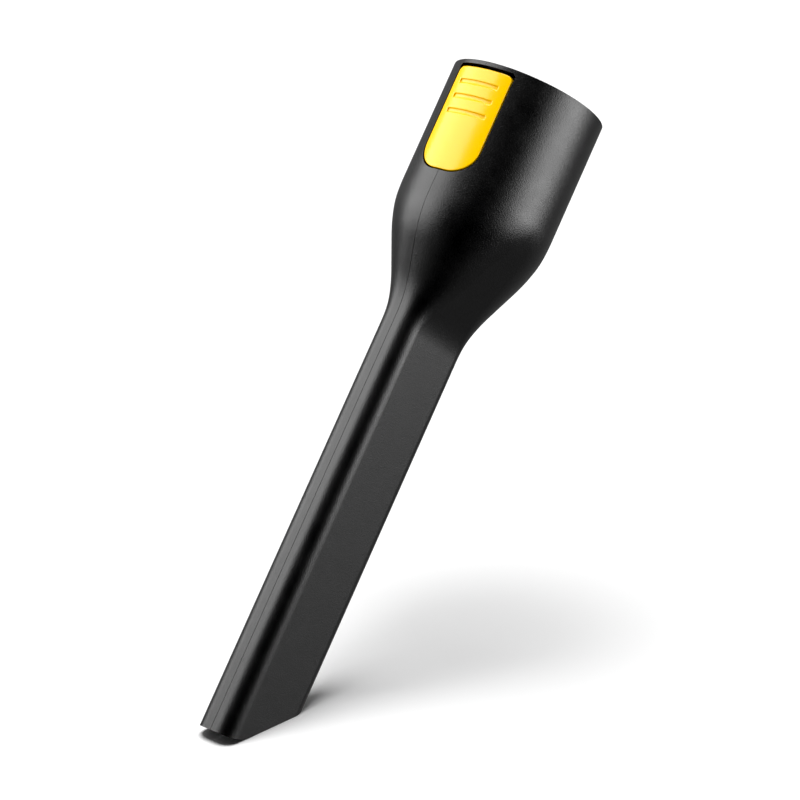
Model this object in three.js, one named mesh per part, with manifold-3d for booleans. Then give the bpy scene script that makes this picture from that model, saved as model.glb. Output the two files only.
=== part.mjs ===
// Crevice nozzle of a handheld vacuum, in millimetres, +Z up.
//
// The nozzle is modelled straight, along its own axis: mouth of the socket at the origin, tip towards -Z,
// release button towards -X, wide faces towards -Y and +Y. The whole group is then leaned about Y, so that
// the slanted suction opening lies level and the origin stays at the centre of the mouth.
import * as THREE from "three";
import { mergeVertices } from "three/addons/utils/BufferGeometryUtils.js";
import Module from "manifold-3d";

// Driving dimensions of the body
const SOCKET_R = 25; // outer radius of the round socket
const SOCKET_WALL = 2;
const RIM_CHAMFER = 0.4;
const BLADE_W = 30.7; // wide faces, across X
const BLADE_T = 14.1; // narrow sides, across Y
const BLADE_CORNER = 5.2;
const BLADE_WALL = 1.6;
const TIP_DEPTH = 212; // mouth to the middle of the slanted opening
const LEAN = 36.8; // degrees between the opening's plane and a square cut
const NOSE_R = 20; // the lip curves up towards the button's side, until it is square to the axis
const NECK_X = { from: 51.4, to: 74.5, round: 6.8 }; // where the X half size shrinks
const NECK_Y = { from: 44.5, to: 79.8, round: 5 }; // where the Y half size shrinks
const GAP = 0.3; // between pieces that touch

// Driving dimensions of the lock
const TUBE_R = 17.5; // the suction tube that the socket takes
const BORE_R = TUBE_R + 0.3;
const SLEEVE_R = 19.4;
const SLEEVE_END = -45.6;
const FLANGE_R = SOCKET_R - SOCKET_WALL - GAP;
const LOWER_FLANGE_R = 22.1;
const WINDOW = { top: -1.3, bottom: -36.8, half: 10.9, topRound: 1.2, endRound: 8.5 };
const BUTTON = { top: -2.4, bottom: -36.3, half: 10.4, topRound: 1.9, endRound: 8.1, thick: 2.2 };
const GRIP = { first: -7.3, pitch: 5, count: 3, width: 15, height: 1.4, depth: 0.3 };
const PIVOT = { x: -20.1, z: -18, r: 0.8, bore: 0.9, half: 7.3 };
const LEVER = { outer: -22.1, inner: -20.6, half: 4, top: -13, bottom: -36, barrel: 1.7 };
const HOOK = { tip: -15.9, top: -30.5, face: -35.2 };
const SPRING = { z: -8.5, inner: -18.7, outer: -22.3, r: 1.7, wire: 0.22, turns: 4 };
const SEAL = { top: -40.7, bottom: -42.9, outer: 18.4, lip: 17.2 };
const GASKET = { top: -42.7, bottom: -43.8, inner: SLEEVE_R + 0.25, outer: LOWER_FLANGE_R - 0.1 };

const SECTORS = 64;
const wasm = await Module();
wasm.setup();

const black = { color: 0x141414, roughness: 0.55, metalness: 0 };
const yellow = { color: 0xf5c800, roughness: 0.35, metalness: 0 };
const acetal = { color: 0x2b2b2c, roughness: 0.45, metalness: 0 };
const rubber = { color: 0x1a1a1a, roughness: 0.8, metalness: 0 };
const steel = { color: 0xb9bcc0, roughness: 0.3, metalness: 1 };

// A closed geometry as a solid, for joining and cutting.
function solid(geometry) {
  const bare = geometry.clone();
  bare.deleteAttribute("normal");
  bare.deleteAttribute("uv");
  const merged = mergeVertices(bare, 1e-4);
  const mesh = new wasm.Mesh({
    numProp: 3,
    vertProperties: merged.attributes.position.array,
    triVerts: new Uint32Array(merged.index.array),
  });
  return new wasm.Manifold(mesh);
}

// A solid back as a named mesh.
function piece(name, made, look) {
  const { vertProperties, triVerts } = made.getMesh();
  const geometry = new THREE.BufferGeometry();
  geometry.setAttribute("position", new THREE.BufferAttribute(vertProperties, 3));
  geometry.setIndex(new THREE.BufferAttribute(triVerts, 1));
  geometry.computeVertexNormals();
  const mesh = new THREE.Mesh(geometry, new THREE.MeshStandardMaterial(look));
  mesh.name = name;
  return mesh;
}

function box(x0, x1, y0, y1, z0, z1) {
  const geometry = new THREE.BoxGeometry(x1 - x0, y1 - y0, z1 - z0);
  geometry.translate((x0 + x1) / 2, (y0 + y1) / 2, (z0 + z1) / 2);
  return solid(geometry);
}

// A ring or disc about the nozzle's axis, from its half section as [radius, height] corners.
function turned(corners) {
  const points = corners.map(([r, z]) => new THREE.Vector2(r, z));
  points.push(points[0].clone());
  const geometry = new THREE.LatheGeometry(points, SECTORS, Math.PI / SECTORS);
  geometry.rotateX(Math.PI / 2);
  return solid(geometry);
}

// A round bar along Y.
function barY(x, z, radius, half, sides = 24) {
  const geometry = new THREE.CylinderGeometry(radius, radius, 2 * half, sides);
  geometry.translate(x, 0, z);
  return solid(geometry);
}

// A flat outline drawn in X and Z, given thickness along Y.
function slabY(shape, y0, y1) {
  const geometry = new THREE.ExtrudeGeometry(shape, { depth: y1 - y0, bevelEnabled: false });
  geometry.rotateX(Math.PI / 2);
  geometry.translate(0, y1, 0);
  return solid(geometry);
}

// The outline of the window and of the button: small rounds at the top, large rounds at the lower end.
function latchOutline({ top, bottom, half, topRound, endRound }) {
  const shape = new THREE.Shape();
  shape.moveTo(-half, top - topRound);
  shape.lineTo(-half, bottom + endRound);
  shape.absarc(-half + endRound, bottom + endRound, endRound, Math.PI, 1.5 * Math.PI);
  shape.absarc(half - endRound, bottom + endRound, endRound, 1.5 * Math.PI, 2 * Math.PI);
  shape.lineTo(half, top - topRound);
  shape.absarc(half - topRound, top - topRound, topRound, 0, 0.5 * Math.PI);
  shape.absarc(-half + topRound, top - topRound, topRound, 0.5 * Math.PI, Math.PI);
  return shape;
}

// A shape drawn in Y and Z, given thickness along X.
function slabX(shape, x0, x1) {
  const geometry = new THREE.ExtrudeGeometry(shape, { depth: x1 - x0, bevelEnabled: false, curveSegments: 10 });
  const turn = new THREE.Matrix4().makeBasis(
    new THREE.Vector3(0, 1, 0),
    new THREE.Vector3(0, 0, 1),
    new THREE.Vector3(1, 0, 0),
  );
  geometry.applyMatrix4(turn);
  geometry.translate(x0, 0, 0);
  return solid(geometry);
}

// 0 above x = 0 and x below it, with the corner rounded over the given width.
function softRamp(x, round) {
  if (x < -round) return 0;
  if (x > round) return x;
  return (x + round) ** 2 / (4 * round);
}

// Half size at a depth: the socket's radius, shrinking to the blade's half size along the neck.
function halfSize(depth, blade, { from, to, round }) {
  const slope = (SOCKET_R - blade) / (to - from);
  return SOCKET_R - slope * (softRamp(depth - from, round) - softRamp(depth - to, round));
}

// The body's section at a depth, inset by a share of the wall: half sizes and corner radius.
function section(depth, share) {
  const x = halfSize(depth, BLADE_W / 2, NECK_X);
  const y = halfSize(depth, BLADE_T / 2, NECK_Y);
  const round = THREE.MathUtils.clamp((y - BLADE_T / 2) / (SOCKET_R - BLADE_T / 2), 0, 1);
  const corner = Math.min(BLADE_CORNER + (SOCKET_R - BLADE_CORNER) * round, x, y);
  const inset = share * (BLADE_WALL + (SOCKET_WALL - BLADE_WALL) * round);
  return { x: x - inset, y: y - inset, corner: corner - inset };
}

// The depths at which the body is drawn: few where it is straight, close together along the neck.
function stations(start) {
  const list = [start];
  for (let depth = 39.5; depth < 87; depth += 2.5) list.push(depth);
  list.push(88, TIP_DEPTH + 30);
  return list;
}

// The body's outer form (share 0), inner form (share 1) or a form between them, as one solid.
function form(share) {
  const depths = share > 0 ? stations(-1) : [0, ...stations(RIM_CHAMFER)];
  const geometry = new THREE.CylinderGeometry(1, 1, 1, SECTORS, depths.length - 1, false, Math.PI / SECTORS);
  const at = geometry.attributes.position;
  for (let i = 0; i < at.count; i++) {
    const row = Math.round((0.5 - at.getY(i)) * (depths.length - 1));
    const depth = depths[row];
    const { x, y, corner } = section(depth, share);
    const chamfer = share === 0 && depth === 0 ? RIM_CHAMFER : 0;
    const cx = at.getZ(i);
    const cy = at.getX(i);
    const px = Math.sign(cx) * (x - corner) + (corner - chamfer) * cx;
    const py = Math.sign(cy) * (y - corner) + (corner - chamfer) * cy;
    const centre = Math.hypot(cx, cy) < 0.5;
    at.setXYZ(i, centre ? 0 : px, centre ? 0 : py, -depth);
  }
  return solid(geometry);
}

// Everything below the lip: the slanted plane, and the arc that takes it square to the axis at the nose.
function belowTip() {
  const slant = THREE.MathUtils.degToRad(LEAN);
  const noseX = -BLADE_W / 2;
  const arcX = noseX + NOSE_R * Math.sin(slant);
  const arcZ = -TIP_DEPTH + arcX * Math.tan(slant);
  const centreZ = arcZ + NOSE_R * Math.cos(slant);
  const shape = new THREE.Shape();
  shape.moveTo(60, -TIP_DEPTH + 60 * Math.tan(slant));
  shape.lineTo(arcX, arcZ);
  shape.absarc(noseX, centreZ, NOSE_R, slant - Math.PI / 2, -Math.PI / 2, true);
  shape.lineTo(-60, centreZ - NOSE_R);
  shape.lineTo(-60, -300);
  shape.lineTo(60, -300);
  return slabY(shape, -60, 60);
}

// Ring ribs inside the shells that hold the sleeve's lower flange from above and below.
function sleeveRibs() {
  const outer = SOCKET_R - SOCKET_WALL + 0.3;
  const ring = (top, bottom) => [[21.2, bottom], [outer, bottom], [outer, top], [21.2, top]];
  return turned(ring(-39.2, -40.7)).add(turned(ring(-44.1, -45.4)));
}

// The two half shells meet on the centre plane with a stepped edge, so no straight gap leads inside.
function halfShells() {
  const inner = form(1);
  const window = slabX(latchOutline(WINDOW), -40, -10);
  const cut = window.add(belowTip());
  const body = form(0).subtract(inner).add(sleeveRibs()).subtract(cut);
  const tongue = form(0.58).subtract(inner).intersect(box(-40, 40, -1, 1.2, -300, -0.5)).subtract(cut);
  const groove = form(0.42).intersect(box(-40, 40, -1, 1.5, -300, 10));
  const left = body.intersect(box(-60, 60, -60, -GAP / 2, -300, 10)).add(tongue);
  const right = body.intersect(box(-60, 60, GAP / 2, 60, -300, 10)).subtract(groove);
  return [piece("left_half_shell", left, black), piece("right_half_shell", right, black)];
}

// The sleeve guides the tube, stops it at its shoulder, carries the pivot and holds the spring and seal.
function socketSleeve() {
  const ring = turned([
    [BORE_R, 0],
    [BORE_R, SEAL.top + GAP],
    [18.7, SEAL.top + GAP],
    [18.7, SEAL.bottom - GAP],
    [BORE_R, SEAL.bottom - GAP],
    [BORE_R, SLEEVE_END + 1.4],
    [16.4, SLEEVE_END + 1.4],
    [16.4, SLEEVE_END],
    [SLEEVE_R, SLEEVE_END],
    [SLEEVE_R, -42.4],
    [LOWER_FLANGE_R, -42.4],
    [LOWER_FLANGE_R, -41],
    [SLEEVE_R, -41],
    [SLEEVE_R, -1.2],
    [FLANGE_R, -1.2],
    [FLANGE_R, 0],
  ]);
  const ear = (y) => box(-21.1, -17.5, y - 1.2, y + 1.2, PIVOT.z - 1.7, PIVOT.z + 1.7);
  const pinHole = barY(PIVOT.x, PIVOT.z, PIVOT.bore, 20);
  const leverWindow = box(-30, -10, -4.9, 4.9, -36.6, -15.9);
  const pocket = new THREE.CylinderGeometry(2.2, 2.2, 10, 24);
  pocket.rotateZ(Math.PI / 2);
  pocket.translate(SPRING.inner + GAP - 5, 0, SPRING.z);
  const made = ring.add(ear(-6.1)).add(ear(6.1)).subtract(pinHole).subtract(leverWindow);
  return piece("socket_sleeve", made.subtract(solid(pocket)), acetal);
}

// Soft lip ring in the sleeve's groove, which seals on the tube.
function tubeSeal() {
  const middle = (SEAL.top + SEAL.bottom) / 2;
  const made = turned([
    [SEAL.outer, SEAL.bottom],
    [SEAL.outer, SEAL.top],
    [BORE_R, SEAL.top],
    [SEAL.lip, middle - 0.3],
    [SEAL.lip, middle - 0.6],
    [BORE_R, SEAL.bottom],
  ]);
  return piece("tube_seal", made, rubber);
}

// Flat rubber ring squeezed between the sleeve's lower flange and the rib below it, so that no air is
// drawn in through the button's window.
function sleeveGasket() {
  const { top, bottom, inner, outer } = GASKET;
  return piece("sleeve_gasket", turned([[inner, bottom], [outer, bottom], [outer, top], [inner, top]]), rubber);
}

// The button follows the socket's surface and has shallow finger grips.
function releaseButton() {
  const inner = SOCKET_R - BUTTON.thick;
  const skin = turned([[inner, -50], [SOCKET_R, -50], [SOCKET_R, 5], [inner, 5]]);
  const depth = SOCKET_R - GRIP.depth;
  const surface = turned([[depth, -50], [SOCKET_R + 5, -50], [SOCKET_R + 5, 5], [depth, 5]]);
  let made = skin.intersect(slabX(latchOutline(BUTTON), -40, -10));
  for (let i = 0; i < GRIP.count; i++) {
    const z = GRIP.first - i * GRIP.pitch;
    const bar = box(-30, -20, -GRIP.width / 2, GRIP.width / 2, z - GRIP.height / 2, z + GRIP.height / 2);
    made = made.subtract(surface.intersect(bar));
  }
  return piece("release_button", made, yellow);
}

// The lever under the button turns on the pin, and its hook reaches into the tube's lock slot.
function latchLever() {
  const { outer, inner, half, top, bottom, barrel } = LEVER;
  const plate = box(outer, inner, -half, half, bottom, top);
  const round = barY(PIVOT.x, PIVOT.z, barrel, 4.6);
  const outline = new THREE.Shape();
  outline.moveTo(inner - 0.5, HOOK.face);
  outline.lineTo(HOOK.tip, HOOK.face);
  outline.lineTo(HOOK.tip, HOOK.face + 1.2);
  outline.lineTo(inner - 0.5, HOOK.top);
  const hook = slabY(outline, -3, 3);
  const made = plate.add(round).add(hook).subtract(barY(PIVOT.x, PIVOT.z, PIVOT.bore, 20));
  return piece("latch_lever", made, acetal);
}

function pivotPin() {
  return piece("pivot_pin", barY(PIVOT.x, PIVOT.z, PIVOT.r, PIVOT.half), steel);
}

// Compression spring between the sleeve's pocket and the underside of the button.
class Coil extends THREE.Curve {
  getPoint(t, target = new THREE.Vector3()) {
    const turn = 2 * Math.PI * SPRING.turns * t;
    const start = SPRING.inner - SPRING.wire - 0.1;
    const end = SPRING.outer + SPRING.wire + 0.1;
    return target.set(
      start + (end - start) * t,
      SPRING.r * Math.cos(turn),
      SPRING.z + SPRING.r * Math.sin(turn),
    );
  }
}

function returnSpring() {
  const wire = new THREE.Shape();
  wire.absarc(0, 0, SPRING.wire, 0, 2 * Math.PI);
  const geometry = new THREE.ExtrudeGeometry(wire, {
    steps: 16 * SPRING.turns,
    curveSegments: 3,
    extrudePath: new Coil(),
  });
  return piece("return_spring", solid(geometry), steel);
}

const nozzle = new THREE.Group();
nozzle.add(...halfShells());
nozzle.add(socketSleeve(), tubeSeal(), sleeveGasket());
nozzle.add(releaseButton(), latchLever(), pivotPin(), returnSpring());
nozzle.rotation.y = THREE.MathUtils.degToRad(LEAN);

export default nozzle;
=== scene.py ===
"""Crevice nozzle of a handheld vacuum: surfaces, finishes, floor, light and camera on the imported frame."""

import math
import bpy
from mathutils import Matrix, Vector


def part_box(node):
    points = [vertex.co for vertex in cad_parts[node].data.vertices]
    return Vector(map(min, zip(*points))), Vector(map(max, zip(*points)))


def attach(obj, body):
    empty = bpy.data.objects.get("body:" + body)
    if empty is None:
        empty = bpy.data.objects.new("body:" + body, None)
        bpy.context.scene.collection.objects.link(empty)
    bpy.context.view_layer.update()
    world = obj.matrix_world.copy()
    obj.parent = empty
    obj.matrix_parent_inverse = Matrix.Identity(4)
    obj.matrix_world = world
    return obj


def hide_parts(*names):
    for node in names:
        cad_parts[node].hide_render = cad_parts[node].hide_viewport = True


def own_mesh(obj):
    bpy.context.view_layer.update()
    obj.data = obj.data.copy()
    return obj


bl_info = {
    "name": "Crevice Nozzle",
    "version": (1, 0, 0),
    "blender": (4, 5, 0),
    "location": "View3D > Sidebar > Nozzle",
    "description": "Models a vacuum's crevice nozzle with its lock button, and a plain stage around it",
    "category": "Add Mesh",
}

import bmesh
import bpy
from bpy.props import FloatProperty, FloatVectorProperty, IntProperty, PointerProperty
from mathutils import Matrix, Vector

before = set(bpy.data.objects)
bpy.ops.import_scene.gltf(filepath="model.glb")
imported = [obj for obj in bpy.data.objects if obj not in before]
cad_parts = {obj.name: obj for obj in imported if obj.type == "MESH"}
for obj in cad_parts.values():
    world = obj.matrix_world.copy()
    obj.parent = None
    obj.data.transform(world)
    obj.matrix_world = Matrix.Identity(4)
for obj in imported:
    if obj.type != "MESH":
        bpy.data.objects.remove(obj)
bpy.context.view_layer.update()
MM = 0.001
SECTORS = 128
FINE_SECTORS = 256
WELD = 1e-6
FLOOR_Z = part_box("left_half_shell")[0][2]

# Where the neck starts and ends narrowing, as depths below the mouth, and how softly it turns there.
NECK_WIDE = (51.4 * MM, 74.5 * MM, 6.8 * MM)
NECK_THIN = (44.5 * MM, 79.8 * MM, 5 * MM)

# Top and bottom heights, half width, and the rounding of the top and bottom corners.
WINDOW = (-1.3 * MM, -36.8 * MM, 10.9 * MM, 1.2 * MM, 8.5 * MM)
BUTTON = (-2.4 * MM, -36.3 * MM, 10.4 * MM, 1.9 * MM, 8.1 * MM)
WALL_CROSSING = (-40 * MM, -10 * MM)
BUTTON_THICKNESS = 2.2 * MM

GRIP_HEIGHT = 1.4 * MM
GRIP_HALF_WIDTH = 7.5 * MM
GRIP_FLOOR_LOW = 0.48 * MM
GRIP_FLOOR_HIGH = 0.52 * MM

SEAM_TURN = math.radians(0.6)
BEVEL_ANGLE = math.radians(34)
SMOOTH_ANGLE = math.radians(40)

PIVOT = Vector((-20.1 * MM, 0, -18 * MM))
PIN_HOLE = 0.9 * MM
SPRING_HEIGHT = -8.5 * MM


class NozzleSizes(bpy.types.PropertyGroup):
    """Sizes of the nozzle, along and across its own axis"""

    socket_radius: FloatProperty(
        name="Socket Radius", description="Outer radius of the round socket",
        default=25 * MM, unit="LENGTH",
    )
    socket_wall: FloatProperty(
        name="Socket Wall", description="Wall thickness at the socket", default=2 * MM, unit="LENGTH",
    )
    blade_width: FloatProperty(
        name="Blade Width", description="Width of the blade's flat faces", default=30.7 * MM, unit="LENGTH",
    )
    blade_thickness: FloatProperty(
        name="Blade Thickness", description="Width of the blade's narrow sides",
        default=14.1 * MM, unit="LENGTH",
    )
    blade_corner: FloatProperty(
        name="Blade Corner", description="Radius of the blade's long edges", default=5.2 * MM, unit="LENGTH",
    )
    blade_wall: FloatProperty(
        name="Blade Wall", description="Wall thickness at the blade", default=1.6 * MM, unit="LENGTH",
    )
    tip_depth: FloatProperty(
        name="Tip Depth", description="Mouth to the middle of the slanted opening",
        default=212 * MM, unit="LENGTH",
    )
    lean: FloatProperty(
        name="Lean", description="Angle of the nozzle's axis from upright",
        default=math.radians(36.8), subtype="ANGLE",
    )
    nose: FloatProperty(
        name="Nose Radius", description="Radius that takes the lip square to the axis at the button's side",
        default=20 * MM, unit="LENGTH",
    )
    seam: FloatProperty(
        name="Seam", description="Gap between the two half shells", default=0.15 * MM, unit="LENGTH",
    )
    edge: FloatProperty(
        name="Edge Round", description="Radius on moulded edges", default=0.3 * MM, unit="LENGTH",
    )


class NozzleFinish(bpy.types.PropertyGroup):
    """Colours and grain of the moulded plastics"""

    black: FloatVectorProperty(
        name="Shell Black", description="Colour of the shells", size=3, subtype="COLOR",
        default=(0.0015, 0.0015, 0.0016), min=0, max=1,
    )
    yellow: FloatVectorProperty(
        name="Button Yellow", description="Colour of the release button", size=3, subtype="COLOR",
        default=(0.78, 0.445, 0.0), min=0, max=1,
    )
    grain: FloatProperty(
        name="Grain Size", description="Size of one grain of the shells' spark-eroded surface",
        default=0.34 * MM, unit="LENGTH",
    )
    white: FloatVectorProperty(
        name="Floor White", description="Colour of the floor", size=3, subtype="COLOR",
        default=(0.9, 0.9, 0.9), min=0, max=1,
    )


class NozzleGrips(bpy.types.PropertyGroup):
    """Finger grips on the release button"""

    count: IntProperty(name="Count", description="Number of finger grips", default=3, min=1, max=6)
    first: FloatProperty(
        name="First", description="Mouth to the first grip", default=7.3 * MM, unit="LENGTH",
    )
    pitch: FloatProperty(
        name="Pitch", description="Distance from grip to grip", default=5 * MM, unit="LENGTH",
    )


# ---------------------------------------------------------------- selection and edit helpers


def deselect():
    if bpy.context.mode != "OBJECT":
        bpy.ops.object.mode_set(mode="OBJECT")
    bpy.ops.object.select_all(action="DESELECT")


def activate(obj):
    deselect()
    obj.select_set(True)
    bpy.context.view_layer.objects.active = obj


def apply_place(obj):
    activate(obj)
    bpy.ops.object.transform_apply(location=True, rotation=True, scale=True)


def edit(obj, mode="VERT"):
    activate(obj)
    bpy.ops.object.mode_set(mode="EDIT")
    bpy.ops.mesh.select_mode(type=mode)
    return bmesh.from_edit_mesh(obj.data)


def leave_edit():
    bpy.ops.object.mode_set(mode="OBJECT")


def select_edges(obj, wanted):
    """Selects the edges whose middle and direction pass the test."""
    bm = bmesh.from_edit_mesh(obj.data)
    bpy.ops.mesh.select_all(action="DESELECT")
    for edge in bm.edges:
        a, b = edge.verts[0].co, edge.verts[1].co
        edge.select_set(bool(wanted((a + b) / 2, (b - a).normalized())))
    bmesh.update_edit_mesh(obj.data)


def apply_modifier(obj, kind, **values):
    """Adds a modifier with those settings and applies it."""
    activate(obj)
    modifier = obj.modifiers.new(kind.title(), kind)
    for key, value in values.items():
        setattr(modifier, key, value)
    bpy.ops.object.modifier_apply(modifier=modifier.name)


def cut(obj, tool, operation="DIFFERENCE"):
    """Cuts, joins or intersects a piece with a tool, and removes the tool."""
    apply_modifier(obj, "BOOLEAN", operation=operation, solver="EXACT", object=tool)
    bpy.data.objects.remove(tool)


def copy_of(obj, name):
    activate(obj)
    bpy.ops.object.duplicate()
    twin = bpy.context.active_object
    twin.name = name
    return twin


def block(x0, x1, y0, y1, z0, z1):
    """A box between those planes."""
    deselect()
    bpy.ops.mesh.primitive_cube_add(
        size=1,
        location=((x0 + x1) / 2, (y0 + y1) / 2, (z0 + z1) / 2),
        scale=(x1 - x0, y1 - y0, z1 - z0),
    )
    obj = bpy.context.active_object
    apply_place(obj)
    return obj


def soften(obj, width):
    """Rounds the sharp edges, and keeps the broad faces flat in the shading."""
    apply_modifier(
        obj, "BEVEL", width=width, segments=2, limit_method="ANGLE",
        angle_limit=BEVEL_ANGLE, use_clamp_overlap=True, miter_outer="MITER_ARC",
    )
    activate(obj)
    bpy.ops.object.shade_smooth_by_angle(angle=SMOOTH_ANGLE)
    apply_modifier(obj, "WEIGHTED_NORMAL", mode="FACE_AREA", keep_sharp=True, weight=80)


def round_over(obj, cell, passes):
    """Rounds every edge of a small glossy moulding, by meshing it finely and evening it out."""
    apply_modifier(obj, "REMESH", mode="VOXEL", voxel_size=cell, use_smooth_shade=True)
    apply_modifier(obj, "SMOOTH", factor=0.5, iterations=passes)


def lean(obj):
    """Leans a piece that was made upright about the mouth's centre, as the nozzle stands."""
    obj.rotation_euler = (0, bpy.context.scene.nozzle_sizes.lean, 0)
    apply_place(obj)


def finish_piece(obj, name, body, slot, material, *nodes):
    """Names a piece, gives it its material, and puts it in place of its frame nodes."""
    obj.name = name
    obj.data.name = name
    obj.data.materials.clear()
    obj.data.materials.append(material)
    deselect()
    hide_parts(*nodes)
    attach(obj, body)


# ---------------------------------------------------------------- the nozzle's form


def soft_ramp(x, rounding):
    """0 above x = 0 and x below it, with the corner rounded over the given width."""
    if x < -rounding:
        return 0.0
    if x > rounding:
        return x
    return (x + rounding) ** 2 / (4 * rounding)


def half_size(depth, blade, start, end, rounding):
    """Half the body's width at a depth, narrowing from the socket to the blade."""
    socket = bpy.context.scene.nozzle_sizes.socket_radius
    slope = (socket - blade) / (end - start)
    return socket - slope * (soft_ramp(depth - start, rounding) - soft_ramp(depth - end, rounding))


def section(depth, share):
    """Half sizes and corner radius of the body at a depth, inset by a share of its wall."""
    sizes = bpy.context.scene.nozzle_sizes
    wide, thin = sizes.blade_width / 2, sizes.blade_thickness / 2
    x = half_size(depth, wide, *NECK_WIDE)
    y = half_size(depth, thin, *NECK_THIN)
    round_share = min(max((y - thin) / (sizes.socket_radius - thin), 0), 1)
    corner = min(sizes.blade_corner + (sizes.socket_radius - sizes.blade_corner) * round_share, x, y)
    inset = share * (sizes.blade_wall + (sizes.socket_wall - sizes.blade_wall) * round_share)
    return x - inset, y - inset, corner - inset


def half_of_ring(obj, ring, axis, side):
    """Selects the vertices of a ring on one side of the axis."""
    bpy.ops.mesh.select_all(action="DESELECT")
    for vertex in ring:
        if vertex.co[axis] * side > 0:
            vertex.select_set(True)
    bmesh.update_edit_mesh(obj.data)


def reshape_ring(obj, old, new, depth):
    """Scales the selected rounded rectangle by its corners, then pulls its sides to their new places."""
    factor = new[2] / old[2]
    bpy.ops.transform.resize(value=(factor, factor, 1), center_override=(0, 0, -depth))
    bm = bmesh.from_edit_mesh(obj.data)
    ring = [v for v in bm.verts if v.select]
    for axis in (0, 1):
        step = (new[axis] - new[2]) - (old[axis] - old[2]) * factor
        if abs(step) < 1e-9:
            continue
        for side in (-1, 1):
            half_of_ring(obj, ring, axis, side)
            value = [0, 0, 0]
            value[axis] = side * step
            bpy.ops.transform.translate(value=value)
    bpy.ops.mesh.select_all(action="DESELECT")
    for vertex in ring:
        vertex.select_set(True)
    bm.select_flush(True)
    bmesh.update_edit_mesh(obj.data)


def neck_depths():
    """The depths at which the body is drawn: close together along the neck, and on past the tip."""
    depths = [0, 12 * MM, 24 * MM, 36 * MM]
    depths += [(39.5 + 1.25 * i) * MM for i in range(39)]
    depths += [(90 + 20 * i) * MM for i in range(7)]
    return depths + [bpy.context.scene.nozzle_sizes.tip_depth + 30 * MM]


def tube_wall():
    """The whole body as one closed wall: a ring drawn down the outside, in, and back up the inside."""
    depths = neck_depths()
    path = [(depth, 0) for depth in depths] + [(depth, 1) for depth in reversed(depths)] + [(0, 0)]
    size = section(*path[0])
    deselect()
    bpy.ops.mesh.primitive_circle_add(vertices=SECTORS, radius=size[2], location=(0, 0, 0))
    obj = bpy.context.active_object
    obj.rotation_euler[2] = math.pi / SECTORS
    apply_place(obj)
    edit(obj)
    bpy.ops.mesh.select_all(action="SELECT")
    for before, after in zip(path, path[1:]):
        down = before[0] - after[0]
        bpy.ops.mesh.extrude_edges_move(TRANSFORM_OT_translate={"value": (0, 0, down)})
        reshape_ring(obj, section(*before), section(*after), after[0])
    bpy.ops.mesh.select_all(action="SELECT")
    bpy.ops.mesh.remove_doubles(threshold=WELD)
    bpy.ops.mesh.normals_make_consistent(inside=False)
    leave_edit()
    return obj


def latch_prism(top, bottom, half, top_round, end_round, x0, x1):
    """The outline of the button and of its window, as a prism across the socket's wall."""
    obj = block(x0, x1, -half, half, bottom, top)
    edit(obj, "EDGE")
    for level, radius in ((top, top_round), (bottom, end_round)):
        select_edges(obj, lambda middle, way: abs(way.x) > 0.9 and abs(middle.z - level) < WELD)
        bpy.ops.mesh.bevel(offset=radius, segments=14, affect="EDGES")
    leave_edit()
    return obj


def turned(name, corners, sectors=SECTORS):
    """A closed ring about the nozzle's axis, drawn round the corners of its half section."""
    radius, height = corners[0]
    deselect()
    bpy.ops.mesh.primitive_circle_add(vertices=sectors, radius=radius, location=(0, 0, height))
    obj = bpy.context.active_object
    obj.rotation_euler[2] = math.pi / sectors
    apply_place(obj)
    obj.name = name
    edit(obj)
    bpy.ops.mesh.select_all(action="SELECT")
    for (r0, z0), (r1, z1) in zip(corners, corners[1:] + corners[:1]):
        bpy.ops.mesh.extrude_edges_move(TRANSFORM_OT_translate={"value": (0, 0, z1 - z0)})
        bpy.ops.transform.resize(value=(r1 / r0, r1 / r0, 1), center_override=(0, 0, z1))
    bpy.ops.mesh.select_all(action="SELECT")
    bpy.ops.mesh.remove_doubles(threshold=WELD)
    bpy.ops.mesh.normals_make_consistent(inside=False)
    leave_edit()
    return obj


def rod(start, end, radius, sides=48):
    """A round rod from one point to another."""
    way = Vector(end) - Vector(start)
    deselect()
    bpy.ops.mesh.primitive_cylinder_add(
        vertices=sides, radius=radius, depth=way.length, location=(Vector(start) + Vector(end)) / 2,
        rotation=way.to_track_quat("Z", "Y").to_euler(),
    )
    obj = bpy.context.active_object
    apply_place(obj)
    return obj


# ---------------------------------------------------------------- materials


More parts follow.
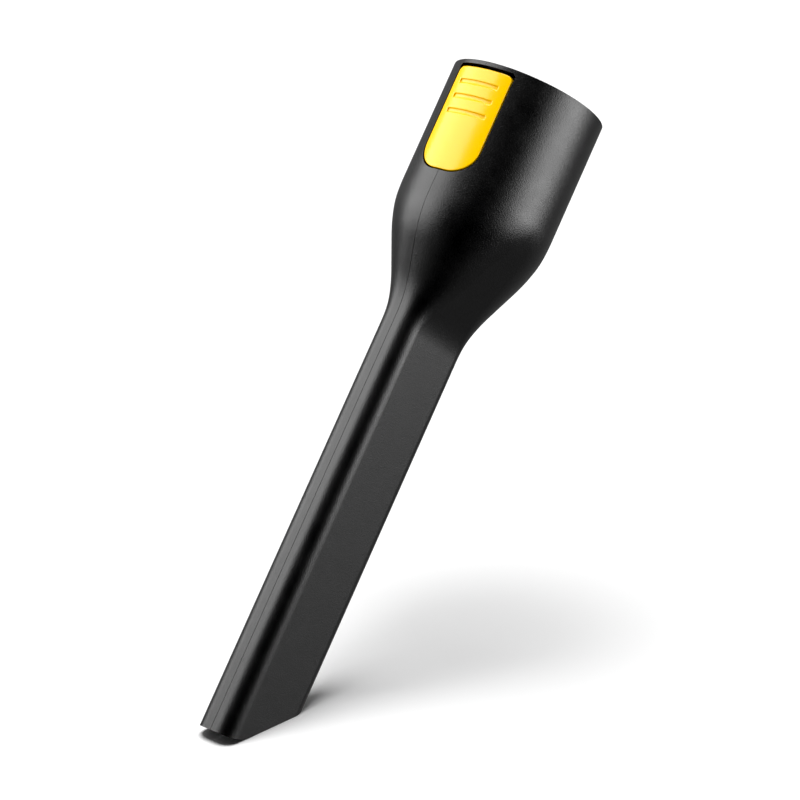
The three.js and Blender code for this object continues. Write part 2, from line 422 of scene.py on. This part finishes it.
class Recipe:
    """A node material, built from a Principled shader."""

    def __init__(self, name):
        self.material = bpy.data.materials.new(name)
        self.material.use_nodes = True
        self.tree = self.material.node_tree
        self.shader = self.tree.nodes["Principled BSDF"]
        self.coordinates = self.add("ShaderNodeTexCoord").outputs["Object"]

    def add(self, kind, **inputs):
        node = self.tree.nodes.new(kind)
        for key, value in inputs.items():
            node.inputs[key.replace("_", " ")].default_value = value
        return node

    def link(self, output, node, socket):
        self.tree.links.new(output, node.inputs[socket])

    def noise(self, scale, detail=4.0, roughness=0.55):
        node = self.add("ShaderNodeTexNoise", Scale=scale, Detail=detail, Roughness=roughness)
        self.link(self.coordinates, node, "Vector")
        return node.outputs["Fac"]

    def cells(self, scale):
        node = self.add("ShaderNodeTexVoronoi", Scale=scale, Randomness=1.0)
        node.feature = "SMOOTH_F1"
        node.inputs["Smoothness"].default_value = 0.6
        self.link(self.coordinates, node, "Vector")
        return node.outputs["Distance"]

    def spread(self, output, low, high, start=0.3, end=0.7):
        """Maps an output from start..end to low..high."""
        node = self.add("ShaderNodeMapRange")
        for key, value in (("From Min", start), ("From Max", end), ("To Min", low), ("To Max", high)):
            node.inputs[key].default_value = value
        self.link(output, node, "Value")
        return node.outputs["Result"]

    def shades(self, output, dark, light):
        """Runs a colour from dark to light with an output."""
        node = self.add("ShaderNodeValToRGB")
        node.color_ramp.elements[0].position = 0.3
        node.color_ramp.elements[1].position = 0.7
        node.color_ramp.elements[0].color = (*dark, 1)
        node.color_ramp.elements[1].color = (*light, 1)
        self.link(output, node, "Fac")
        return node.outputs["Color"]

    def bump(self, output, distance, strength=1.0, under=None):
        node = self.add("ShaderNodeBump", Strength=strength, Distance=distance)
        self.link(output, node, "Height")
        if under is not None:
            self.link(under, node, "Normal")
        return node.outputs["Normal"]

    def set(self, **values):
        for key, value in values.items():
            self.shader.inputs[key.replace("_", " ")].default_value = value

    def drive(self, socket, output):
        self.link(output, self.shader, socket)


def tint(colour, factor):
    """A colour made lighter or darker."""
    return tuple(min(1.0, c * factor) for c in colour)


def shell_black():
    """Black moulded plastic with a fine spark-eroded grain."""
    finish = bpy.context.scene.nozzle_finish
    recipe = Recipe("shell_black")
    colour = tuple(finish.black)
    recipe.drive("Base Color", recipe.shades(recipe.noise(60), tint(colour, 0.85), tint(colour, 1.2)))
    fine = recipe.noise(1 / finish.grain, 3.0, 0.6)
    recipe.drive("Roughness", recipe.spread(recipe.noise(180), 0.29, 0.35))
    grain = recipe.bump(fine, 0.08 * MM, 0.8)
    coarse = recipe.bump(recipe.cells(0.6 / finish.grain), 0.05 * MM, 0.35, grain)
    recipe.drive("Normal", coarse)
    recipe.set(IOR=1.45)
    return recipe.material


def button_yellow():
    """Smooth, semi-gloss yellow plastic with a faint unevenness."""
    finish = bpy.context.scene.nozzle_finish
    recipe = Recipe("button_yellow")
    colour = tuple(finish.yellow)
    recipe.drive("Base Color", recipe.shades(recipe.noise(90), tint(colour, 0.96), colour))
    recipe.drive("Roughness", recipe.spread(recipe.noise(700), 0.20, 0.26))
    ripple = recipe.bump(recipe.noise(1500, 2.0), 0.01 * MM, 0.3)
    recipe.drive("Normal", recipe.bump(recipe.noise(140, 1.0), 0.03 * MM, 0.3, ripple))
    recipe.set(IOR=1.38, Subsurface_Weight=0.05, Subsurface_Scale=0.4 * MM)
    return recipe.material


def inner_black():
    """Plain smooth moulding of the inner pieces, with faint flow marks."""
    recipe = Recipe("inner_black")
    recipe.drive("Base Color", recipe.shades(recipe.noise(80), (0.012, 0.012, 0.0125), (0.02, 0.02, 0.021)))
    recipe.drive("Roughness", recipe.spread(recipe.noise(300), 0.34, 0.46))
    recipe.drive("Normal", recipe.bump(recipe.noise(2200, 2.0), 0.02 * MM, 0.4))
    return recipe.material


def seal_rubber():
    """Soft matt rubber."""
    recipe = Recipe("seal_rubber")
    recipe.drive("Base Color", recipe.shades(recipe.noise(200), (0.014, 0.014, 0.014), (0.03, 0.03, 0.029)))
    recipe.drive("Roughness", recipe.spread(recipe.noise(900), 0.65, 0.85))
    recipe.drive("Normal", recipe.bump(recipe.noise(3500, 3.0), 0.02 * MM, 0.5))
    return recipe.material


def bright_steel():
    """Drawn steel wire and pin, with fine lengthwise marks."""
    recipe = Recipe("bright_steel")
    recipe.drive("Base Color", recipe.shades(recipe.noise(500), (0.5, 0.5, 0.52), (0.68, 0.68, 0.7)))
    recipe.drive("Roughness", recipe.spread(recipe.noise(1200), 0.18, 0.34))
    recipe.drive("Normal", recipe.bump(recipe.noise(4000, 2.0), 0.01 * MM, 0.4))
    recipe.set(Metallic=1.0)
    return recipe.material


def backdrop_white():
    """White that gives off its own light, so the wall is as pale as the floor."""
    material = bpy.data.materials.new("backdrop_white")
    material.use_nodes = True
    nodes, links = material.node_tree.nodes, material.node_tree.links
    nodes.clear()
    glow = nodes.new("ShaderNodeEmission")
    glow.inputs["Color"].default_value = (1, 1, 1, 1)
    glow.inputs["Strength"].default_value = 1.0
    links.new(glow.outputs[0], nodes.new("ShaderNodeOutputMaterial").inputs["Surface"])
    return material


def floor_white():
    """Seamless white paper."""
    finish = bpy.context.scene.nozzle_finish
    recipe = Recipe("floor_white")
    colour = tuple(finish.white)
    recipe.drive("Base Color", recipe.shades(recipe.noise(4), tint(colour, 0.99), colour))
    recipe.drive("Normal", recipe.bump(recipe.noise(900, 2.0), 0.02 * MM, 0.2))
    recipe.set(Roughness=0.9, Specular_IOR_Level=0.0)
    return recipe.material


# ---------------------------------------------------------------- operators


class NOZZLE_OT_half_shells(bpy.types.Operator):
    """Adds the two half shells, with the button's window and the slanted tip"""

    bl_idname = "nozzle.half_shells"
    bl_label = "Half Shells"

    def execute(self, context):
        sizes = context.scene.nozzle_sizes
        wall = tube_wall()
        cut(wall, latch_prism(*WINDOW, *WALL_CROSSING))
        cut(wall, self.below_nose(sizes))
        lean(wall)
        cut(wall, block(-0.4, 0.2, -0.1, 0.1, FLOOR_Z - 0.2, FLOOR_Z))
        black = shell_black()
        for name, side in (("left_half_shell", -1), ("right_half_shell", 1)):
            shell = copy_of(wall, name)
            inside, outside = -side * 0.1, side * sizes.seam / 2
            other_half = block(-0.4, 0.3, min(inside, outside), max(inside, outside), -0.3, 0.2)
            # The seams on the two narrow sides don't line up, so there is no looking through both.
            other_half.rotation_euler.z = SEAM_TURN
            apply_place(other_half)
            lean(other_half)
            cut(shell, other_half)
            soften(shell, sizes.edge / 2)
            finish_piece(shell, name.replace("half_", ""), "nozzle", "black_shell", black, name)
        bpy.data.objects.remove(wall)
        return {"FINISHED"}

    def below_nose(self, sizes):
        """What the arc of the nose takes away: a block with a round rod taken out of it."""
        start = -sizes.blade_width / 2
        end = start + sizes.nose * math.sin(sizes.lean)
        centre = -sizes.tip_depth + end * math.tan(sizes.lean) + sizes.nose * math.cos(sizes.lean)
        below = block(-60 * MM, end, -20 * MM, 20 * MM, centre - 60 * MM, centre)
        cut(below, block(-70 * MM, start, -30 * MM, 30 * MM, centre - sizes.nose, centre + 10 * MM))
        cut(below, rod((start, -0.03, centre), (start, 0.03, centre), sizes.nose, FINE_SECTORS))
        return below


class NOZZLE_OT_button(bpy.types.Operator):
    """Adds the release button with its finger grips"""

    bl_idname = "nozzle.button"
    bl_label = "Release Button"

    def execute(self, context):
        sizes = context.scene.nozzle_sizes
        grips = context.scene.nozzle_grips
        outer = sizes.socket_radius
        inner = outer - BUTTON_THICKNESS
        button = turned(
            "button", [(inner, -50 * MM), (outer, -50 * MM), (outer, 5 * MM), (inner, 5 * MM)], FINE_SECTORS,
        )
        cut(button, latch_prism(*BUTTON, *WALL_CROSSING), "INTERSECT")
        for i in range(grips.count):
            top = -(grips.first + i * grips.pitch) + GRIP_HEIGHT / 2
            cut(button, self.grip(outer, top - GRIP_HEIGHT, top))
        round_over(button, 0.15 * MM, 7)
        lean(button)
        finish_piece(button, "button_cap", "rocker", "yellow_button", button_yellow(), "release_button")
        return {"FINISHED"}

    def grip(self, outer, bottom, top):
        """What one grip takes away: a bar whose inner side follows the button's curve."""
        bar = block(-30 * MM, -20 * MM, -GRIP_HALF_WIDTH, GRIP_HALF_WIDTH, bottom, top)
        deselect()
        bpy.ops.mesh.primitive_cone_add(
            vertices=FINE_SECTORS, radius1=outer - GRIP_FLOOR_LOW, radius2=outer - GRIP_FLOOR_HIGH,
            depth=top - bottom + 0.4 * MM, location=(0, 0, (top + bottom) / 2),
        )
        core = bpy.context.active_object
        apply_place(core)
        cut(bar, core)
        return bar


class NOZZLE_OT_sleeve(bpy.types.Operator):
    """Adds the socket's inner sleeve with its pivot ears, lever window and spring pocket"""

    bl_idname = "nozzle.sleeve"
    bl_label = "Socket Sleeve"

    def execute(self, context):
        bore, groove, stop, tube = 17.8, 18.7, 16.4, 19.4
        flange, lower = 22.7, 22.1
        levels = [
            (bore, 0), (bore, -40.4), (groove, -40.4), (groove, -43.2), (bore, -43.2), (bore, -44.2),
            (stop, -44.2), (stop, -45.6), (tube, -45.6), (tube, -42.4), (lower, -42.4), (lower, -41),
            (tube, -41), (tube, -1.2), (flange, -1.2), (flange, 0),
        ]
        sleeve = turned("sleeve", [(r * MM, z * MM) for r, z in levels])
        for side in (-1, 1):
            y = side * 6.1 * MM
            ear = block(-21.1 * MM, -17.5 * MM, y - 1.2 * MM, y + 1.2 * MM, -19.7 * MM, -16.3 * MM)
            cut(sleeve, ear, "UNION")
        across = Vector((0, 20 * MM, 0))
        cut(sleeve, rod(PIVOT - across, PIVOT + across, PIN_HOLE))
        cut(sleeve, block(-0.03, -0.01, -4.9 * MM, 4.9 * MM, -36.6 * MM, -15.9 * MM))
        cut(sleeve, rod((-0.03, 0, SPRING_HEIGHT), (-18.4 * MM, 0, SPRING_HEIGHT), 2.2 * MM))
        soften(sleeve, 0.18 * MM)
        lean(sleeve)
        finish_piece(sleeve, "sleeve", "nozzle", "inner_plastic", inner_black(), "socket_sleeve")
        return {"FINISHED"}


class NOZZLE_OT_seals(bpy.types.Operator):
    """Adds the lip seal for the tube and the gasket behind the sleeve"""

    bl_idname = "nozzle.seals"
    bl_label = "Seals"

    def execute(self, context):
        rubber = seal_rubber()
        lip = [
            (18.4, -42.9), (18.4, -40.7), (17.85, -40.7), (17.5, -41.2), (17.25, -41.9), (17.2, -42.2),
            (17.3, -42.4), (17.5, -42.3), (17.8, -42.9),
        ]
        seal = turned("seal", [(r * MM, z * MM) for r, z in lip])
        soften(seal, 0.08 * MM)
        lean(seal)
        finish_piece(seal, "lip_seal", "nozzle", "seal_rubber", rubber, "tube_seal")
        flat = [(19.65, -43.8), (22, -43.8), (22, -42.7), (19.65, -42.7)]
        gasket = turned("gasket", [(r * MM, z * MM) for r, z in flat])
        soften(gasket, 0.2 * MM)
        lean(gasket)
        finish_piece(gasket, "gasket", "nozzle", "seal_rubber", rubber, "sleeve_gasket")
        return {"FINISHED"}


class NOZZLE_OT_lock(bpy.types.Operator):
    """Adds the lever with its hook, the pin it turns on and the spring"""

    bl_idname = "nozzle.lock"
    bl_label = "Lock"

    def execute(self, context):
        lever = block(-22.1 * MM, -20.6 * MM, -4 * MM, 4 * MM, -36 * MM, -13 * MM)
        across = Vector((0, 4.6 * MM, 0))
        cut(lever, rod(PIVOT - across, PIVOT + across, 1.7 * MM), "UNION")
        cut(lever, self.hook(), "UNION")
        cut(lever, rod(PIVOT - 2 * across, PIVOT + 2 * across, PIN_HOLE))
        soften(lever, 0.15 * MM)
        lean(lever)
        finish_piece(lever, "lever", "rocker", "inner_plastic", inner_black(), "latch_lever")
        steel = bright_steel()
        across = Vector((0, 7.3 * MM, 0))
        pin = rod(PIVOT - across, PIVOT + across, 0.8 * MM)
        soften(pin, 0.15 * MM)
        lean(pin)
        finish_piece(pin, "pin", "nozzle", "steel", steel, "pivot_pin")
        spring = self.spring()
        lean(spring)
        finish_piece(spring, "spring", "nozzle", "steel", steel, "return_spring")
        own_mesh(spring)
        return {"FINISHED"}

    def hook(self):
        """A wedge: sloped towards the mouth, square towards the tip."""
        hook = block(-21.1 * MM, -15.9 * MM, -3 * MM, 3 * MM, -35.2 * MM, -30.5 * MM)
        bm = edit(hook)
        bpy.ops.mesh.select_all(action="DESELECT")
        for vertex in bm.verts:
            if vertex.co.x > -16 * MM and vertex.co.z > -31 * MM:
                vertex.select_set(True)
        bmesh.update_edit_mesh(hook.data)
        bpy.ops.transform.translate(value=(0, 0, -3.5 * MM))
        leave_edit()
        return hook

    def spring(self):
        """A coil of round wire, spun from a small circle with the Screw modifier."""
        deselect()
        bpy.ops.mesh.primitive_circle_add(
            vertices=12, radius=0.22 * MM, location=(1.7 * MM, 0, 0), rotation=(math.pi / 2, 0, 0),
        )
        coil = bpy.context.active_object
        apply_place(coil)
        apply_modifier(
            coil, "SCREW", axis="Z", angle=2 * math.pi * 4, screw_offset=2.96 * MM, steps=96, render_steps=96,
            use_merge_vertices=True, merge_threshold=WELD,
        )
        edit(coil)
        bpy.ops.mesh.select_all(action="DESELECT")
        bpy.ops.mesh.select_non_manifold()
        bpy.ops.mesh.edge_face_add()
        bpy.ops.mesh.select_all(action="SELECT")
        bpy.ops.mesh.normals_make_consistent(inside=False)
        leave_edit()
        coil.rotation_euler = (0, -math.pi / 2, 0)
        coil.location = (-19.02 * MM, 0, SPRING_HEIGHT)
        apply_place(coil)
        bpy.ops.object.shade_smooth_by_angle(angle=SMOOTH_ANGLE)
        return coil


class NOZZLE_OT_stage(bpy.types.Operator):
    """Adds the floor, the soft lights and the camera"""

    bl_idname = "nozzle.stage"
    bl_label = "Stage"

    def execute(self, context):
        self.floor()
        self.backdrop()
        self.lights(context.scene)
        self.camera(context.scene)
        return {"FINISHED"}

    def floor(self):
        deselect()
        bpy.ops.mesh.primitive_plane_add(size=5, location=(0, 0, FLOOR_Z - 0.05 * MM))
        floor = bpy.context.active_object
        apply_place(floor)
        floor.name = "floor"
        floor.visible_glossy = False
        self.unlit = bpy.data.collections.new("not_lit_by_boxes")
        self.unlit.objects.link(floor)
        self.unlit.collection_objects[0].light_linking.link_state = "EXCLUDE"
        floor.data.materials.append(floor_white())

    def backdrop(self):
        """A round white wall at the floor's edge, which is seen but lights and shades nothing."""
        deselect()
        bpy.ops.mesh.primitive_cylinder_add(
            vertices=96, radius=2.4, depth=4, end_fill_type="NOTHING", location=(0, 0, FLOOR_Z + 1.9),
        )
        wall = bpy.context.active_object
        apply_place(wall)
        wall.name = "backdrop"
        wall.visible_diffuse = wall.visible_glossy = wall.visible_transmission = False
        wall.visible_shadow = wall.visible_volume_scatter = False
        wall.data.materials.append(backdrop_white())

    def softbox(self, name, place, along, size, power):
        """A rectangular softbox turned to the nozzle, with its long side along the given way."""
        back = (Vector(place) - Vector((-20 * MM, 0, -30 * MM))).normalized()
        side = Vector(along)
        side = (side - back * side.dot(back)).normalized()
        deselect()
        bpy.ops.object.light_add(type="AREA", location=place)
        light = bpy.context.active_object
        light.name = name
        light.data.shape = "RECTANGLE"
        light.data.size, light.data.size_y = size
        light.data.energy = power
        light.rotation_euler = Matrix((side, back.cross(side), back)).transposed().to_euler()
        light.light_linking.receiver_collection = self.unlit

    def lights(self, scene):
        self.room(scene)
        deselect()
        bpy.ops.object.light_add(type="SUN", location=(0, 0, 2))
        overhead = bpy.context.active_object
        overhead.name = "overhead"
        overhead.data.energy = 3.6
        overhead.data.angle = math.radians(40)
        overhead.rotation_euler = Vector((-0.04, -0.05, -1)).to_track_quat("-Z", "Y").to_euler()
        self.softbox("left_box", (-0.47, 0.585, 0.42), (0.51, 0.637, -0.377), (1.0, 0.66), 11)
        self.softbox("right_box", (0.19, -0.51, 0.035), (0.93, 0.36, 0), (0.38, 0.4), 3.6)
        scene.view_settings.view_transform = "Standard"
        scene.view_settings.use_curve_mapping = True
        scene.view_settings.curve_mapping.black_level = (0.004, 0.004, 0.004)
        scene.view_settings.curve_mapping.update()

    def room(self, scene):
        """A pale room with one dark end, darker below, and with a glow beside the right softbox."""
        world = bpy.data.worlds.new("studio")
        world.use_nodes = True
        nodes, links = world.node_tree.nodes, world.node_tree.links
        way = nodes.new("ShaderNodeTexCoord").outputs["Generated"]

        def fade(towards, start, end, low, high):
            dot = nodes.new("ShaderNodeVectorMath")
            dot.operation = "DOT_PRODUCT"
            dot.inputs[1].default_value = Vector(towards).normalized()
            ramp = nodes.new("ShaderNodeMapRange")
            ramp.interpolation_type = "SMOOTHSTEP"
            for key, value in (("From Min", start), ("From Max", end), ("To Min", low), ("To Max", high)):
                ramp.inputs[key].default_value = value
            links.new(way, dot.inputs[0])
            links.new(dot.outputs["Value"], ramp.inputs["Value"])
            return ramp.outputs["Result"]

        def combine(operation, first, second):
            node = nodes.new("ShaderNodeMath")
            node.operation = operation
            links.new(first, node.inputs[0])
            links.new(second, node.inputs[1])
            return node.outputs["Value"]

        walls = fade((0, 0, 1), -0.13, 0.0, 0.22, 0.32)
        dark_end = fade((-0.35, -0.72, 0.6), 0.35, 0.65, 1.0, 0.0)
        glow = fade((0.64, -0.76, -0.12), 0.94, 0.99, 0.0, 2.4)
        strength = combine("ADD", combine("MULTIPLY", walls, dark_end), glow)
        links.new(strength, nodes["Background"].inputs["Strength"])
        nodes["Background"].inputs["Color"].default_value = (1, 1, 1, 1)
        scene.world = world

    def camera(self, scene):
        azimuth, elevation = math.radians(-47.7), math.radians(20.15)
        back = Vector((
            math.sin(azimuth) * math.cos(elevation),
            -math.cos(azimuth) * math.cos(elevation),
            math.sin(elevation),
        ))
        right = Vector((math.cos(azimuth), math.sin(azimuth), 0))
        up = back.cross(right)
        aim = -(39.8 * MM * right + 94.2 * MM * up)
        deselect()
        bpy.ops.object.camera_add()
        camera = bpy.context.active_object
        camera.name = "camera"
        camera.data.lens = 145
        camera.data.sensor_width = 36
        camera.data.clip_end = 100
        camera.location = aim + back
        camera.rotation_euler = Matrix((right, up, back)).transposed().to_euler()
        scene.camera = camera


class NOZZLE_PT_panel(bpy.types.Panel):
    """Lists the nozzle's pieces, sizes and finishes"""

    bl_idname = "NOZZLE_PT_panel"
    bl_label = "Crevice Nozzle"
    bl_space_type = "VIEW_3D"
    bl_region_type = "UI"
    bl_category = "Nozzle"

    def draw(self, context):
        layout = self.layout
        for group in (context.scene.nozzle_sizes, context.scene.nozzle_grips, context.scene.nozzle_finish):
            column = layout.column(align=True)
            for name in group.bl_rna.properties.keys():
                if name not in {"rna_type", "name"}:
                    column.prop(group, name)
        for operator in OPERATORS:
            layout.operator(operator.bl_idname)


GROUPS = (NozzleSizes, NozzleFinish, NozzleGrips)
OPERATORS = (
    NOZZLE_OT_half_shells,
    NOZZLE_OT_button,
    NOZZLE_OT_sleeve,
    NOZZLE_OT_seals,
    NOZZLE_OT_lock,
    NOZZLE_OT_stage,
)


def register():
    for item in (*GROUPS, *OPERATORS, NOZZLE_PT_panel):
        bpy.utils.register_class(item)
    bpy.types.Scene.nozzle_sizes = PointerProperty(type=NozzleSizes)
    bpy.types.Scene.nozzle_finish = PointerProperty(type=NozzleFinish)
    bpy.types.Scene.nozzle_grips = PointerProperty(type=NozzleGrips)


def unregister():
    del bpy.types.Scene.nozzle_grips
    del bpy.types.Scene.nozzle_finish
    del bpy.types.Scene.nozzle_sizes
    for item in reversed((*GROUPS, *OPERATORS, NOZZLE_PT_panel)):
        bpy.utils.unregister_class(item)


def main():
    register()
    bpy.ops.nozzle.half_shells()
    bpy.ops.nozzle.button()
    bpy.ops.nozzle.sleeve()
    bpy.ops.nozzle.seals()
    bpy.ops.nozzle.lock()
    bpy.ops.nozzle.stage()


if __name__ == "__main__":
    main()
